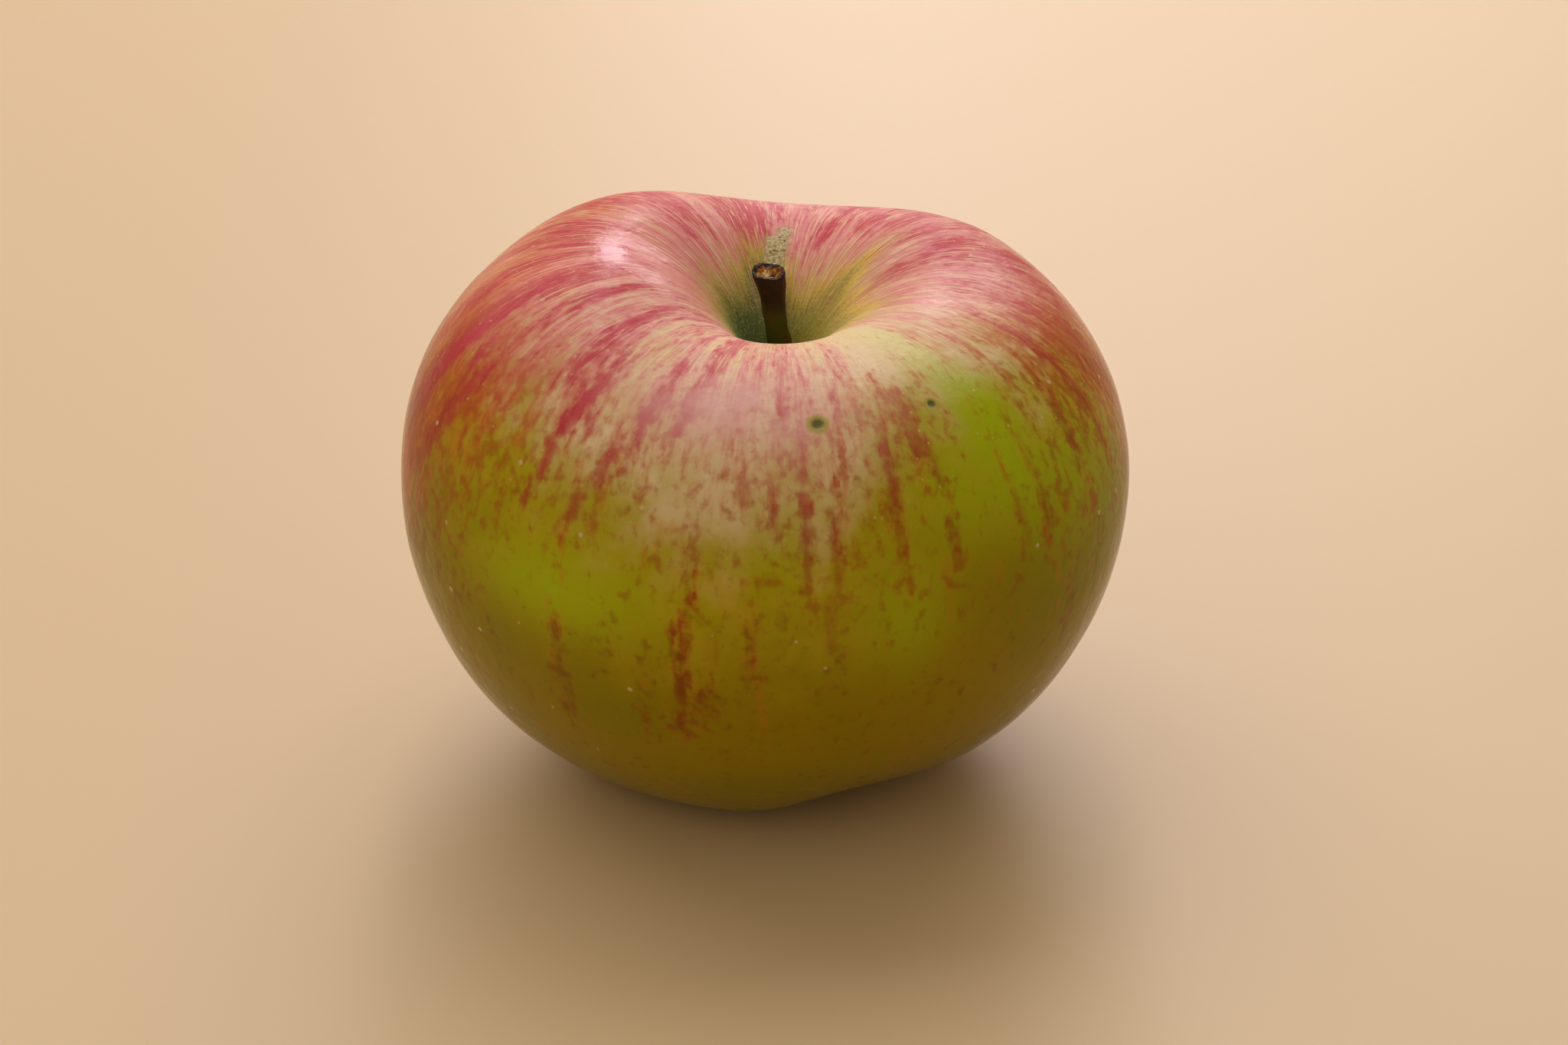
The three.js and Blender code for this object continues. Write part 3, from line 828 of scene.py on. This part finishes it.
DOWN_HEIGHT = 0.1 * MILLIMETRE
dry_leaf = Finish("dry_sepal")
down_patches = dry_leaf.between(dry_leaf.noise(dry_leaf.place, 1.5, 4.0, 0.65), 0.35, 0.65)
dry_leaf.link("Base Color", dry_leaf.mixed(down_patches, colour(84, 62, 38), colour(140, 124, 92)))
dry_leaf.surface.inputs["Roughness"].default_value = 0.9
dry_leaf.link("Normal", dry_leaf.bump(dry_leaf.noise(dry_leaf.place, 6.0, 3.0), DOWN_HEIGHT))

dry_leaf.dress(sepals)
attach(sepals, "root")
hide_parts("sepals")

# The stamens
# The thin threads of the flower, withered to a dark brown tuft. They grow from the floor of the calyx tube,
# inside the ring of sepals.

stamens = smoothed_object("stamens_dry", quad_copy("stamens"), 1)
stamens.data.shade_smooth()
thread = Finish("dry_stamen")
thread_colour = thread.mixed(thread.noise(thread.place, 2.0, 3.0), colour(40, 28, 18), colour(92, 70, 44))
thread.link("Base Color", thread_colour)
thread.surface.inputs["Roughness"].default_value = 0.9

thread.dress(stamens)
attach(stamens, "root")
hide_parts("stamens")

# The floor, the lights and the camera
# A plain pale floor. A tall narrow light and a lower one on its right stand behind the apple, with a wide
# soft one above them, and a weak one stands at the front left. The camera looks down 26 degrees.

# Half the floor's width in metres, so that its edges lie out of sight
FLOOR_HALF = 30.0
floor_shape = bmesh.new()
bmesh.ops.create_grid(floor_shape, x_segments=1, y_segments=1, size=FLOOR_HALF)
floor_mesh = bpy.data.meshes.new("floor")
floor_shape.to_mesh(floor_mesh)
floor_shape.free()
floor = bpy.data.objects.new("floor", floor_mesh)
bpy.context.scene.collection.objects.link(floor)
floor_finish = bpy.data.materials.new("pale_floor")
floor_finish.use_nodes = True
floor_surface = floor_finish.node_tree.nodes["Principled BSDF"]
floor_surface.inputs["Base Color"].default_value = colour(221, 196, 160)
floor_surface.inputs["Roughness"].default_value = 0.5
floor_mesh.materials.append(floor_finish)

bpy.context.scene.view_settings.view_transform = "Standard"
world = bpy.data.worlds.new("studio")
world.use_nodes = True
surroundings = world.node_tree.nodes["Background"]
surroundings.inputs["Color"].default_value = colour(246, 228, 196)
surroundings.inputs["Strength"].default_value = 0.4
bpy.context.scene.world = world


def soft_light(name, azimuth, elevation, distance, width, height, power, tint):
    """A rectangular light that faces the apple: its direction in degrees, sizes in metres, power in watts."""
    lamp = bpy.data.lights.new(name, "AREA")
    lamp.shape = "RECTANGLE"
    lamp.size = width
    lamp.size_y = height
    lamp.energy = power
    lamp.color = tint[:3]
    holder = bpy.data.objects.new(name, lamp)
    turn = math.radians(azimuth)
    lift = math.radians(elevation)
    towards = Vector((math.cos(turn) * math.cos(lift), math.sin(turn) * math.cos(lift), math.sin(lift)))
    holder.location = CORE + towards * distance
    holder.rotation_mode = "QUATERNION"
    holder.rotation_quaternion = towards.to_track_quat("Z", "Y")
    bpy.context.scene.collection.objects.link(holder)


soft_light("tall_behind", 90, 39, 1.2, 0.16, 1.75, 3.0, colour(255, 240, 252))
soft_light("low_behind", 79, 23, 1.2, 0.34, 0.46, 1.6, colour(255, 244, 244))
soft_light("wide_above", 103, 48, 1.8, 3.2, 2.0, 23.5, colour(255, 246, 236))
soft_light("front_left", 225, 30, 1.5, 1.6, 1.2, 2.5, colour(255, 232, 196))

# The photograph's view: the lens and sensor in mm, and the places in metres
CAMERA_LENS = 85.0
CAMERA_SENSOR = 36.0
CAMERA_DOWN = math.radians(25.95)
CAMERA_DISTANCE = 0.4229
CAMERA_TARGET = Vector((0.00211, 0.0, 0.02776))
camera = bpy.data.objects.new("camera", bpy.data.cameras.new("camera"))
camera.data.lens = CAMERA_LENS
camera.data.sensor_width = CAMERA_SENSOR
camera.data.clip_start = 0.01
back = Vector((0, -math.cos(CAMERA_DOWN), math.sin(CAMERA_DOWN)))
camera.location = CAMERA_TARGET + back * CAMERA_DISTANCE
camera.rotation_mode = "QUATERNION"
camera.rotation_quaternion = back.to_track_quat("Z", "Y")
bpy.context.scene.collection.objects.link(camera)
bpy.context.scene.camera = camera
